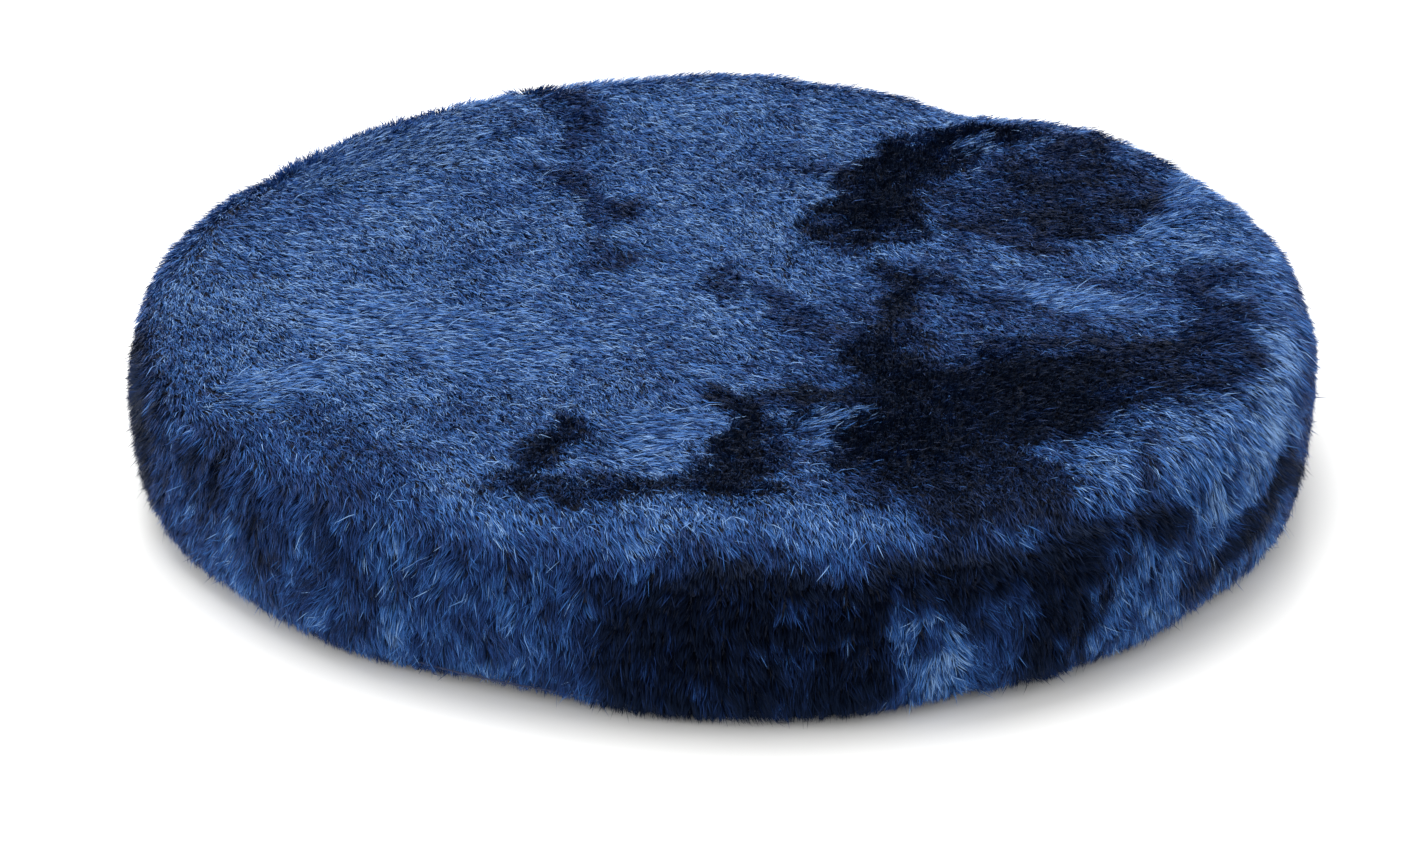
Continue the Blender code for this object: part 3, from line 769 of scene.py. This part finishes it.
# The five points of each blade, and its tone
def growBlades(roots, normals, random):
    count = len(roots)
    pointing, lean, tone, share = combPile(roots, normals, random)
    clump, clumps = groupByPlace(roots + random.normal(0, 0.25 * mm, roots.shape), pile["clump"])
    shifted = roots + wander(roots, 0.011, 5, 71)
    lock, locks = groupByPlace(shifted + random.normal(0, 0.5 * mm, roots.shape), pile["lock"])
    onSide = 1 - smoothStep(0.2, 0.7, normals[:, 2])

    def varied(clumpSpread, bladeSpread):
        return random.normal(0, clumpSpread, clumps)[clump], random.normal(0, bladeSpread, count)

    ofClump, ofBlade = varied(pile["clumpTone"], pile["bladeTone"])
    tone = tone * (1 + ofClump + ofBlade)
    tone *= 1 + pile["lockTone"] * onSide * random.normal(0, 1, locks)[lock]
    # A few blades get a painted highlight, a raised tone
    tone += pile["glint"] * (random.random(count) < pile["glints"])
    ofClump, ofBlade = varied(pile["clumpLean"], pile["bladeLean"])
    lean = lean + ofClump + ofBlade
    ofClump, ofBlade = varied(pile["clumpSway"], pile["bladeSway"])
    sway = ofClump + ofBlade
    ofLock = random.normal(0, pile["lockSway"], locks)[lock]
    sway += onSide * (ofLock + random.normal(0, pile["sideSway"], count))
    length = pile["length"] * share * (1 + random.normal(0, pile["spread"], count))
    stray = random.random(count) < pile["strays"]
    length[stray] *= pile["strayLength"]
    sway[stray] *= pile["straySway"]
    tone[stray] *= pile["strayTone"]

    sideways = np.cross(normals, pointing)
    pointing = unit(pointing + sideways * sway[:, None])
    sideways = np.cross(normals, pointing)
    rootLean = np.radians(np.clip(lean - pile["droop"] / 2, 5, 86))[:, None]
    tipLean = np.radians(np.clip(lean + pile["droop"], 5, 92))[:, None]
    half = (length / 2)[:, None]
    start = roots - normals * pile["sunk"]
    middle = start + half * (normals * np.cos(rootLean) + pointing * np.sin(rootLean))
    tip = middle + half * (normals * np.cos(tipLean) + pointing * np.sin(tipLean))

    pull = pile["gather"] * (groupMean(tip, clump, clumps) - tip)
    pull += pile["lockGather"] * onSide[:, None] * (groupMean(tip, lock, locks) - tip)
    pull[stray] *= pile["strayGather"]
    tip = tip + pull
    middle = middle + pile["middleGather"] * pull
    roll = random.uniform(-pile["roll"], pile["roll"], count)[:, None]
    flat = unit(sideways * np.cos(roll) + normals * np.sin(roll)) * (pile["width"] / 2)
    narrow = flat * pile["taper"]
    points = np.stack([start - flat, start + flat, middle + narrow, middle - narrow, tip], axis=1)
    points[:, :, 2] = np.maximum(points[:, :, 2], pile["floorGap"])
    return points, np.clip(tone, 0, 1)


# Plants a panel of the cover, and parts its pile into pieces that are not too large
def plantPile(panel, label, material, seed):
    random = np.random.default_rng(seed)
    roots, normals = spreadOver(panel, pile["density"], random)
    order = np.argsort(np.arctan2(roots[:, 1], roots[:, 0]))
    points, tone = growBlades(roots[order], normals[order], random)
    pieces = math.ceil(len(points) / pile["most"])
    for number, chosen in enumerate(np.array_split(np.arange(len(points)), pieces)):
        name = label if pieces == 1 else label + str(number + 1)
        piece = bladesObject(name, points[chosen], tone[chosen])
        piece.data.materials.append(material)
        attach(piece, "cushion")
    print(label + ":", len(points), "blades in", pieces, "pieces")


bladeRise = (0, 0, 0.55, 0.55, 1)     # how far up its blade each point lies


# One mesh of many blades, each a four-sided stem and a three-sided tip
def bladesObject(name, points, tone):
    count = len(points)
    mesh = bpy.data.meshes.new(name)
    mesh.vertices.add(count * 5)
    mesh.vertices.foreach_set("co", points.astype(np.float32).ravel())
    corners = np.array((0, 1, 2, 3, 3, 2, 4)) + np.arange(count)[:, None] * 5
    mesh.loops.add(count * 7)
    mesh.loops.foreach_set("vertex_index", corners.astype(np.int32).ravel())
    mesh.polygons.add(count * 2)
    starts = np.array((0, 4)) + np.arange(count)[:, None] * 7
    mesh.polygons.foreach_set("loop_start", starts.astype(np.int32).ravel())
    mesh.update(calc_edges=True)
    mesh.shade_smooth()
    for attribute, values in (("tone", np.repeat(tone, 5)), ("rise", np.tile(bladeRise, count))):
        layer = mesh.attributes.new(attribute, "FLOAT", "POINT")
        layer.data.foreach_set("value", values.astype(np.float32))
    piece = bpy.data.objects.new(name, mesh)
    bpy.context.scene.collection.objects.link(piece)
    return piece


# A soft piece of the cushion gets its material and joins the cushion's body in place of its node, which is
# hidden
def declareSoft(piece, node, material):
    piece.data.materials.append(material)
    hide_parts(node)
    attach(piece, "cushion")


def makeCover():
    form = makeCoverForm()
    cutAlongSeams(form)
    backing = backingMaterial()
    fibre = pileMaterial()
    for number, (name, node) in enumerate(panelNodes.items()):
        piece = cutOut(name, form, lambda middle, name=name: panelOf(middle) == name)
        if name == "basePanel":
            material = clothMaterial("wovenBaseCloth")
        else:
            material = backing
            plantPile(piece, name + "Pile", fibre, 100 + number)
        applyModifier(piece, "SOLIDIFY", thickness=cover["cloth"], offset=-1)
        declareSoft(piece, node, material)
    bpy.data.objects.remove(form)


makeCover()


# Zip
zipCoil = {
    "wire": 0.62 * mm,
    "pitch": 1.3 * mm,
    "stepsInTurn": 8,
    "middleGap": 0.4 * mm,
    "endGap": 0.15,              # degrees
}
zipEdges = {"slider": 0.18 * mm, "pull": 0.22 * mm, "stop": 0.25 * mm}


# Nylon monofilament, drawn and dyed: smooth, a little translucent at the edges, with a plastic gloss
def nylonMaterial():
    material, tree, shader = newMaterial("dyedNylonMonofilament", Roughness=0.3, IOR=1.53)
    place = addNode(tree, "ShaderNodeTexCoord")
    drawn = addNode(tree, "ShaderNodeTexNoise", {"Vector": place.outputs["Object"], "Scale": 1 / (2.5 * mm)})
    colour = setRamp(
        addNode(tree, "ShaderNodeValToRGB", {"Fac": drawn.outputs["Fac"]}),
        [(0.3, "#16233f"), (0.7, "#22365e")],
    )
    tree.links.new(colour.outputs["Color"], shader.inputs["Base Color"])
    return material


# One half of the zip's coil: a flattened helix that follows the tape
def makeCoil(name, node, side, material):
    places = meshPlaces(nodes[node])
    azimuth = azimuthOf(places)
    radius = np.hypot(places[:, 0], places[:, 1])
    wire = zipCoil["wire"]
    centre = (radius.min() + radius.max()) / 2
    halfDeep = (radius.max() - radius.min() - wire) / 2
    inner = midSeam + side * (zipCoil["middleGap"] + wire / 2)
    outer = (places[:, 2].max() if side > 0 else places[:, 2].min()) - side * wire / 2
    first, last = np.radians((azimuth.min() + zipCoil["endGap"], azimuth.max() - zipCoil["endGap"]))
    turns = round((last - first) * centre / zipCoil["pitch"])
    curve = bpy.data.curves.new(name, "CURVE")
    curve.dimensions = "3D"
    curve.bevel_depth = wire / 2
    curve.bevel_resolution = 1
    curve.use_fill_caps = True
    spline = curve.splines.new("POLY")
    steps = turns * zipCoil["stepsInTurn"]
    spline.points.add(steps)
    for number in range(steps + 1):
        around = 2 * math.pi * number / zipCoil["stepsInTurn"]
        spot = first + (last - first) * number / steps
        far = centre + halfDeep * math.cos(around)
        high = (inner + outer) / 2 + (outer - inner) / 2 * math.sin(around)
        spline.points[number].co = (far * math.cos(spot), far * math.sin(spot), high, 1)
    piece = bpy.data.objects.new(name, curve)
    bpy.context.scene.collection.objects.link(piece)
    pickOnly(piece)
    bpy.ops.object.convert(target="MESH")
    applyModifier(piece, "WELD", merge_threshold=0.001 * mm)
    piece.data.shade_smooth()
    piece.data.materials.clear()
    piece.data.materials.append(material)
    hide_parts(node)
    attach(piece, "cushion")


# Die-cast zinc with a nickel plate: warm grey, polished, with the fine waviness of the casting
def nickelMaterial():
    material, tree, shader = newMaterial("nickelPlatedZinc", Metallic=1.0)
    place = addNode(tree, "ShaderNodeTexCoord")
    wear = addNode(tree, "ShaderNodeTexNoise", {"Vector": place.outputs["Object"], "Scale": 1 / (1.6 * mm),
                                                "Detail": 4.0})
    colour = setRamp(
        addNode(tree, "ShaderNodeValToRGB", {"Fac": wear.outputs["Fac"]}),
        [(0.35, "#8a8781"), (0.65, "#aaa7a1")],
    )
    rough = addNode(tree, "ShaderNodeMapRange",
                    {"Value": wear.outputs["Fac"], "To Min": 0.18, "To Max": 0.38})
    bump = addNode(tree, "ShaderNodeBump", {"Height": wear.outputs["Fac"], "Distance": 0.02 * mm,
                                            "Strength": 0.4})
    tree.links.new(colour.outputs["Color"], shader.inputs["Base Color"])
    tree.links.new(rough.outputs["Result"], shader.inputs["Roughness"])
    tree.links.new(bump.outputs["Normal"], shader.inputs["Normal"])
    return material


# A copy of a metal node whose edges are rounded as a casting's are
def makeMetal(name, node, body, width, material):
    piece = nodes[node].copy()
    piece.data = nodes[node].data.copy()
    piece.name = name
    piece.parent = None
    for key in list(piece.keys()):
        del piece[key]
    bpy.context.scene.collection.objects.link(piece)
    pickOnly(piece)
    applyModifier(piece, "WELD", merge_threshold=0.001 * mm)
    bpy.ops.object.mode_set(mode="EDIT")
    bpy.ops.mesh.select_all(action="SELECT")
    bpy.ops.mesh.dissolve_limited(angle_limit=math.radians(1))
    bpy.ops.object.mode_set(mode="OBJECT")
    applyModifier(piece, "BEVEL", width=width, segments=2, limit_method="ANGLE", angle_limit=math.radians(30))
    pickOnly(piece)
    bpy.ops.object.shade_smooth_by_angle(angle=math.radians(40))
    piece.data.materials.clear()
    piece.data.materials.append(material)
    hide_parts(node)
    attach(piece, body)


def makeZip():
    nylon = nylonMaterial()
    makeCoil("upperCoil", "zip_coil_upper", 1, nylon)
    makeCoil("lowerCoil", "zip_coil_lower", -1, nylon)
    nickel = nickelMaterial()
    makeMetal("slider", "zip_slider", "slider", zipEdges["slider"], nickel)
    makeMetal("pullTab", "zip_pull", "pull", zipEdges["pull"], nickel)
    makeMetal("upperTopStop", "zip_top_stop_upper", "cushion", zipEdges["stop"], nickel)
    makeMetal("lowerTopStop", "zip_top_stop_lower", "cushion", zipEdges["stop"], nickel)
    makeMetal("bottomStop", "zip_bottom_stop", "cushion", zipEdges["stop"], nickel)
    print("zip ready")


makeZip()


# Grip dots on the base cloth, in a staggered grid
gripDots = {
    "spacing": 12 * mm,
    "rowShare": 0.866,           # rows stand closer than the dots in a row
    "radius": 1.5 * mm,
    "bury": 0.1 * mm,            # how far a dot reaches into the cloth
    "clearOfEdge": 18 * mm,
}


# Printed rubber: nearly black, with a dull gloss and a little uneven from the screen it went through
def rubberMaterial():
    material, tree, shader = newMaterial("printedRubber", Roughness=0.55)
    place = addNode(tree, "ShaderNodeTexCoord")
    grain = addNode(tree, "ShaderNodeTexNoise", {"Vector": place.outputs["Object"], "Scale": 1 / (0.8 * mm)})
    colour = setRamp(addNode(tree, "ShaderNodeValToRGB", {"Fac": grain.outputs["Fac"]}),
                     [(0.3, "#1a1c20"), (0.7, "#262930")])
    tree.links.new(colour.outputs["Color"], shader.inputs["Base Color"])
    return material


# One dot: the lower half of a flattened ball, just under the base cloth
def makeDot():
    bpy.ops.object.select_all(action="DESELECT")
    bpy.ops.mesh.primitive_uv_sphere_add(segments=8, ring_count=4, radius=gripDots["radius"])
    piece = bpy.context.object
    piece.name = "gripDots"
    height = cover["floorStand"] + gripDots["bury"]
    bpy.ops.object.mode_set(mode="EDIT")
    bpy.ops.mesh.select_all(action="SELECT")
    bpy.ops.mesh.bisect(plane_co=(0, 0, 0), plane_no=(0, 0, 1), use_fill=True, clear_outer=True)
    bpy.ops.mesh.select_all(action="SELECT")
    bpy.ops.transform.resize(value=(1, 1, height / gripDots["radius"]), center_override=(0, 0, 0))
    bpy.ops.transform.translate(value=(0, 0, height))
    bpy.ops.mesh.normals_make_consistent(inside=False)
    bpy.ops.object.mode_set(mode="OBJECT")
    bpy.ops.object.transform_apply()
    return piece


def makeGripDots():
    piece = makeDot()
    dot = meshPlaces(piece)
    dotFaces = [tuple(face.vertices) for face in piece.data.polygons]
    reach = baseRadius - gripDots["clearOfEdge"]
    rows = int(reach / gripDots["spacing"] / gripDots["rowShare"]) + 1
    places = []
    faces = []
    for row, column in itertools.product(range(-rows, rows + 1), repeat=2):
        x = (column + (row % 2) / 2) * gripDots["spacing"]
        y = row * gripDots["rowShare"] * gripDots["spacing"]
        if math.hypot(x, y) < reach:
            first = len(places) * len(dot)
            places.append(dot + (x, y, 0))
            faces += [tuple(corner + first for corner in face) for face in dotFaces]
    mesh = bpy.data.meshes.new("gripDots")
    mesh.from_pydata(np.concatenate(places).tolist(), [], faces)
    mesh.shade_smooth()
    mesh.materials.append(rubberMaterial())
    old = piece.data
    piece.data = mesh
    bpy.data.meshes.remove(old)
    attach(piece, "cushion")
    print("grip dots:", len(places))


makeGripDots()


# Filling
# Open-cell polyurethane foam: cream, with pores of about a millimetre that catch small shadows
def foamMaterial():
    material, tree, shader = newMaterial("openCellFoam", Roughness=0.95)
    place = addNode(tree, "ShaderNodeTexCoord")
    pores = addNode(tree, "ShaderNodeTexVoronoi",
                    {"Vector": place.outputs["Object"], "Scale": 1 / (1.1 * mm)})
    colour = setRamp(addNode(tree, "ShaderNodeValToRGB", {"Fac": pores.outputs["Distance"]}),
                     [(0.05, "#b39a62"), (0.45, "#e6d6a8")])
    bump = addNode(tree, "ShaderNodeBump", {"Height": pores.outputs["Distance"], "Distance": 0.4 * mm,
                                            "Strength": 0.7})
    tree.links.new(colour.outputs["Color"], shader.inputs["Base Color"])
    tree.links.new(bump.outputs["Normal"], shader.inputs["Normal"])
    return material


# Polyester wadding: white, with cloudy drifts of loose fibre some centimetres wide
def waddingMaterial():
    material, tree, shader = newMaterial("polyesterWadding", Roughness=0.95)
    place = addNode(tree, "ShaderNodeTexCoord")
    drifts = addNode(tree, "ShaderNodeTexNoise", {"Vector": place.outputs["Object"], "Scale": 1 / (14 * mm),
                                                  "Detail": 8.0, "Distortion": 0.8})
    colour = setRamp(addNode(tree, "ShaderNodeValToRGB", {"Fac": drifts.outputs["Fac"]}),
                     [(0.3, "#d5d5d2"), (0.6, "#f4f4f2")])
    bump = addNode(tree, "ShaderNodeBump", {"Height": drifts.outputs["Fac"], "Distance": 1.0 * mm,
                                            "Strength": 0.6})
    tree.links.new(colour.outputs["Color"], shader.inputs["Base Color"])
    tree.links.new(bump.outputs["Normal"], shader.inputs["Normal"])
    return material


filling = {
    "foam": {"topRound": 6 * mm, "baseRound": 13 * mm, "remesh": 4 * mm, "fill": 1.0},
    "wadding": {"topRound": 3.5 * mm, "baseRound": 1.2 * mm, "remesh": 2.5 * mm, "fill": 0.4},
    "liner": {"topRound": 8 * mm, "baseRound": 13 * mm, "remesh": 4 * mm, "fill": 0.5},
}
waddingLump = 0.35 * mm
linerCloth = 0.5 * mm
linerLap = 0.6 * mm              # how far the liner's base disc comes up the side


# A round form as big as a node's box, with its two edges rounded, that gives with the cover
def softDrum(name, node, settings):
    low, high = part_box(node)
    piece = roundedDrum(name, high.x, low.z, high.z, settings["topRound"], settings["baseRound"])
    applyModifier(piece, "REMESH", mode="VOXEL", voxel_size=settings["remesh"])
    shapeUnevenly(piece)
    piece.data.shade_smooth()
    return piece


def makeFilling():
    foam = softDrum("foamCore", "foam_core", filling["foam"])
    declareSoft(foam, "foam_core", foamMaterial())
    wadding = softDrum("topWadding", "top_wadding", filling["wadding"])
    places = meshPlaces(wadding)
    sunk = waddingLump * (smoothNoise(places, 0.01, 61) - 1)
    setPlaces(wadding, places + meshNormals(wadding) * sunk[:, None])
    declareSoft(wadding, "top_wadding", waddingMaterial())
    print("filling ready")


# The liner is a bag round the filling: a cap and, sewn to it, the disc that it stands on
def makeLiner():
    form = softDrum("linerForm", "liner_cap", filling["liner"])
    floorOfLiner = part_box("liner_base")[1].z + linerLap
    material = clothMaterial("spunbondLiner")
    parts = (
        ("linerCap", "liner_cap", lambda middle: middle.z > floorOfLiner),
        ("linerBase", "liner_base", lambda middle: middle.z <= floorOfLiner),
    )
    for name, node, wanted in parts:
        piece = cutOut(name, form, wanted)
        applyModifier(piece, "SOLIDIFY", thickness=linerCloth, offset=-1)
        declareSoft(piece, node, material)
    bpy.data.objects.remove(form)
    print("liner ready")


makeFilling()
makeLiner()


# The nodes that stay as the frame has them get their cloths
def dressNodes():
    dressed = {
        "wovenZipTape": ("zip_tape_upper", "zip_tape_lower"),
        "twistedPolyesterThread": ("top_seam_thread", "base_seam_thread", "mid_seam_thread_left",
                                   "mid_seam_thread_right"),
        "wovenSatinLabel": ("care_label",),
    }
    for name, wearers in dressed.items():
        material = clothMaterial(name)
        for wearer in wearers:
            nodes[wearer].material_slots[0].material = material


dressNodes()
print("cloth nodes dressed")


# Studio
studio = {
    "cameraPlace": (0, -1.3820, 0.6652),
    "cameraAim": (-0.0065, -0.0086, 0.0141),
    "lens": 119.4,
    "sensor": 36,
    # name, place, size in metres, power in watts
    "lights": [
        ("softboxOverhead", (-0.2, 0.35, 1.5), 1.3, 26),
        ("softboxLeft", (-1.4, -0.8, 0.9), 0.9, 6.5),
    ],
    "worldStrength": 1.1,
    "floor": 6,                  # metres across
}


def addCamera():
    bpy.ops.object.camera_add(location=studio["cameraPlace"])
    camera = bpy.context.object
    aim = [a - b for a, b in zip(studio["cameraAim"], studio["cameraPlace"])]
    tilt = math.atan2(math.hypot(aim[0], aim[1]), -aim[2])
    camera.rotation_euler = (tilt, 0, math.atan2(-aim[0], aim[1]))
    camera.data.lens = studio["lens"]
    camera.data.sensor_width = studio["sensor"]
    bpy.context.scene.camera = camera


# A softbox that points at the cushion
def addLight(name, place, size, power):
    bpy.ops.object.light_add(type="AREA", location=place)
    light = bpy.context.object
    light.name = name
    light.rotation_euler = (math.atan2(math.hypot(place[0], place[1]), place[2]), 0,
                            math.atan2(place[0], -place[1]))
    light.data.size = size
    light.data.energy = power


# White acrylic sheet lies under the cushion: smooth, with a weak and blurred reflection
def addStudio():
    bpy.ops.mesh.primitive_plane_add(size=studio["floor"], location=(0, 0, 0))
    floor = bpy.context.object
    floor.name = "studioFloor"
    material = newMaterial(
        "whiteAcrylicSheet", Base_Color=linearColour("#f8f8f7"), Roughness=0.25, Specular_IOR_Level=0.3
    )[0]
    floor.data.materials.append(material)
    for name, place, size, power in studio["lights"]:
        addLight(name, place, size, power)
    world = bpy.data.worlds.new("paleStudio")
    world.use_nodes = True
    background = world.node_tree.nodes["Background"]
    background.inputs["Color"].default_value = (1, 1, 1, 1)
    background.inputs["Strength"].default_value = studio["worldStrength"]
    bpy.context.scene.world = world
    bpy.context.scene.view_settings.view_transform = "Standard"


addCamera()
addStudio()
print("studio ready")
